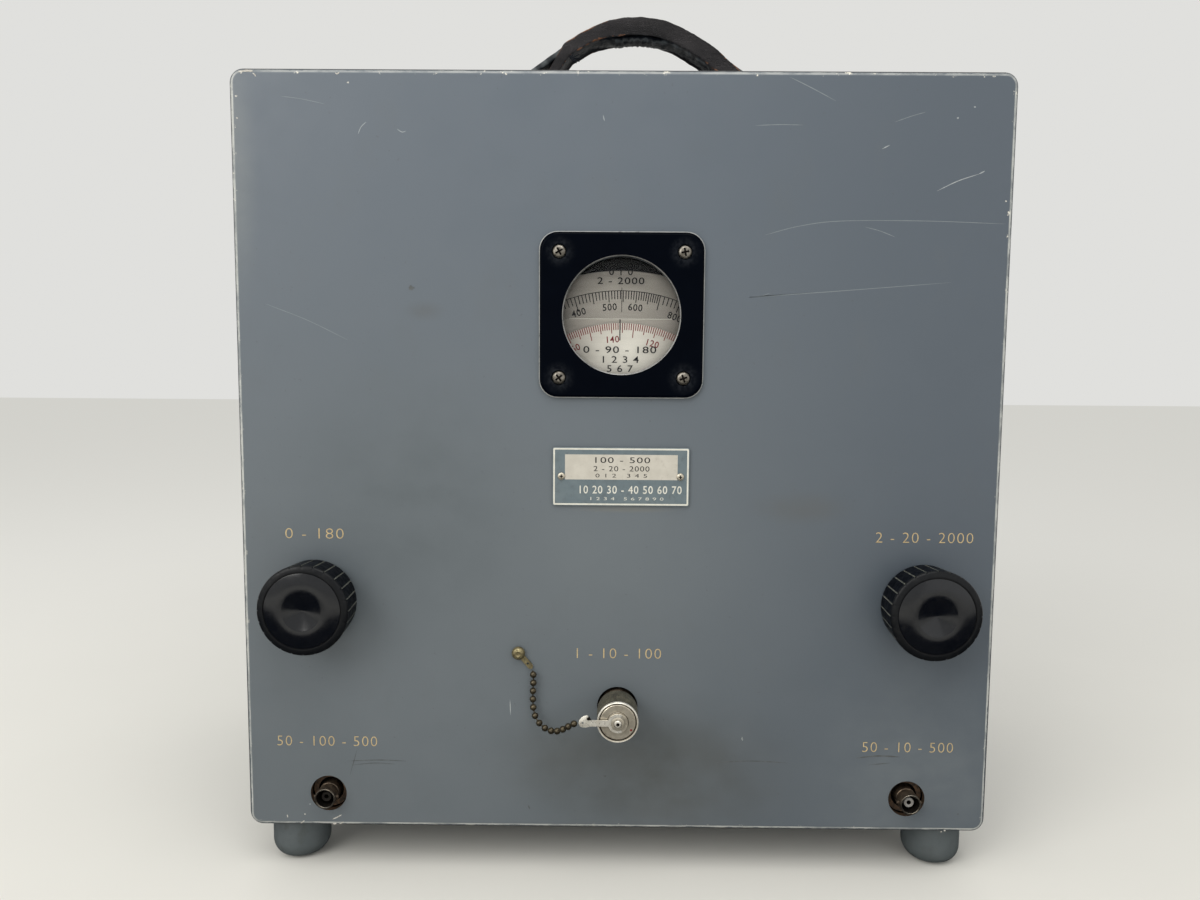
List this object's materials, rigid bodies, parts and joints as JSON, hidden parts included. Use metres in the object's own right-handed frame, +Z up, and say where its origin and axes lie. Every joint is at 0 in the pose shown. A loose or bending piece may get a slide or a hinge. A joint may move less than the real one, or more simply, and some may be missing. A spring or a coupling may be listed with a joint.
{
  "type": "vhf impedance bridge",
  "caption": "Square metal-cased VHF impedance bridge with leather handle, round dial window, two fluted control knobs, coaxial jacks and a capped coaxial port.",
  "frame": {"origin": "middle of the footprint, on the plane that the four feet stand on", "axes": "+X to the right seen from the front, +Y to the back, +Z up; the front panel faces -Y"},
  "size_m": [0.3556, 0.2434, 0.4375],
  "materials": {
    "case_paint": "satin blue-grey enamel on sheet metal",
    "foot_paint": "firm rubber painted over with the case",
    "black_enamel": "semi-gloss black enamel",
    "plate_enamel": "two-tone anodised plate, bare",
    "leather": "black leather, worn brown at its edges",
    "plated_steel": "dull nickel plating",
    "dark_steel": "stranded wire, dark",
    "knob_plastic": "black moulded phenolic, slightly worn",
    "glass": "clear",
    "dial_metal": "fine satin with printed scales",
    "brass": "turned, slightly dulled",
    "tarnished_brass": "plating gone brown with tarnish",
    "nickel": "bright nickel with a warm cast",
    "aluminium": "machined",
    "insulator": "white fluoropolymer",
    "dark_insulator": "fluoropolymer dark with dirt",
    "cable": "black coaxial cable jacket"
  },
  "bodies": {
    "case_body": {"case": "case_paint", "rear_cover": "case_paint", "rear_screw_bottom_left": "plated_steel", "rear_screw_bottom_right": "plated_steel", "rear_screw_top_left": "plated_steel", "rear_screw_top_right": "plated_steel", "foot_front_left": "foot_paint", "foot_front_right": "foot_paint", "foot_rear_left": "foot_paint", "foot_rear_right": "foot_paint", "handle_clip_left": "plated_steel", "handle_clip_right": "plated_steel", "window_bezel": "black_enamel", "window_glass": "glass", "bezel_screw_top_left": "plated_steel", "bezel_screw_top_right": "plated_steel", "bezel_screw_bottom_left": "plated_steel", "bezel_screw_bottom_right": "plated_steel", "cursor_plate": "glass", "nameplate": "plate_enamel", "nameplate_screw_left": "nickel", "nameplate_screw_right": "nickel", "phase_bushing": "brass", "magnitude_bushing": "brass", "generator_jack": "tarnished_brass", "detector_jack": "tarnished_brass", "generator_insulator": "dark_insulator", "detector_insulator": "insulator", "unknown_connector": "tarnished_brass", "retaining_chain": "tarnished_brass", "chain_screw": "brass", "chain_lug": "brass", "chassis": "black_enamel", "bridge_block": "aluminium", "attenuator_tube_left": "brass", "attenuator_tube_right": "brass", "guide_rod": "plated_steel", "phase_line": "brass", "phase_cord": "dark_steel", "magnitude_cord": "dark_steel", "generator_lead": "cable", "detector_lead": "cable"},
    "phase_control": {"phase_knob": "knob_plastic", "phase_shaft": "plated_steel"},
    "magnitude_control": {"magnitude_knob": "knob_plastic", "magnitude_shaft": "plated_steel"},
    "angle_train": {"angle_dial": "dial_metal", "dial_spindle": "plated_steel", "probe_arm": "aluminium"},
    "impedance_train": {"impedance_dial": "dial_metal", "dial_sleeve": "brass", "rack_pinion": "brass"},
    "carriage": {"attenuator_carriage": "aluminium", "attenuator_piston_left": "plated_steel", "attenuator_piston_right": "plated_steel"},
    "cap_clip": {"cap_lug": "nickel"},
    "cap": {"cap_nut": "nickel"},
    "left_ring": {"handle_ring_left": "plated_steel"},
    "right_ring": {"handle_ring_right": "plated_steel"},
    "grip": {"handle_grip": "leather"}
  },
  "joints": [
    {"name": "phase_knob_turn", "type": "hinge", "parent": "case_body", "child": "phase_control", "pos_m": [-0.1427, -0.1, 0.1343], "axis": [0, -1, 0], "range_deg": [-121.2, 872.4]},
    {"name": "angle_dial_turn", "type": "hinge", "parent": "case_body", "child": "angle_train", "pos_m": [0.0003, -0.1, 0.2023], "axis": [0, -1, 0], "range_deg": [-40.41, 290.81]},
    {"name": "magnitude_knob_turn", "type": "hinge", "parent": "case_body", "child": "magnitude_control", "pos_m": [0.1427, -0.1, 0.1343], "axis": [0, -1, 0], "range_deg": [-840.1, 195.1]},
    {"name": "impedance_dial_turn", "type": "hinge", "parent": "case_body", "child": "impedance_train", "pos_m": [0.0003, -0.1, 0.2023], "axis": [0, -1, 0], "range_deg": [-280.1, 65.1]},
    {"name": "carriage_travel", "type": "slide", "parent": "case_body", "child": "carriage", "axis": [1, 0, 0], "range_m": [-0.0391, 0.00908]},
    {"name": "cap_advance", "type": "slide", "parent": "case_body", "child": "cap_clip", "axis": [0, -1, 0], "range_m": [0, 0.00423]},
    {"name": "cap_unscrew", "type": "hinge", "parent": "cap_clip", "child": "cap", "pos_m": [0, -0.11, 0.0834], "axis": [0, -1, 0], "range_deg": [-0.1, 1440.1]},
    {"name": "ring_left_swing", "type": "hinge", "parent": "case_body", "child": "left_ring", "pos_m": [-0.092, 0.00875, 0.3811], "axis": [0, 1, 0], "range_deg": [-100, 20]},
    {"name": "ring_right_swing", "type": "hinge", "parent": "case_body", "child": "right_ring", "pos_m": [0.092, 0.00875, 0.3811], "axis": [0, 1, 0], "range_deg": [-100.01, 20.01]},
    {"name": "grip_level", "type": "hinge", "parent": "left_ring", "child": "grip", "pos_m": [-0.083, 0.00875, 0.39182], "axis": [0, 1, 0], "range_deg": [-20.01, 100.01]}
  ],
  "couplings": [
    {"joint": "angle_dial_turn", "follows": "phase_knob_turn", "ratio": 0.33333},
    {"joint": "magnitude_knob_turn", "follows": "carriage_travel", "rad_per_m": 375},
    {"joint": "impedance_dial_turn", "follows": "carriage_travel", "rad_per_m": 125},
    {"joint": "cap_unscrew", "follows": "cap_advance", "rad_per_m": 5936.8},
    {"joint": "ring_right_swing", "follows": "ring_left_swing", "ratio": 1},
    {"joint": "grip_level", "follows": "ring_left_swing", "ratio": -1}
  ]
}
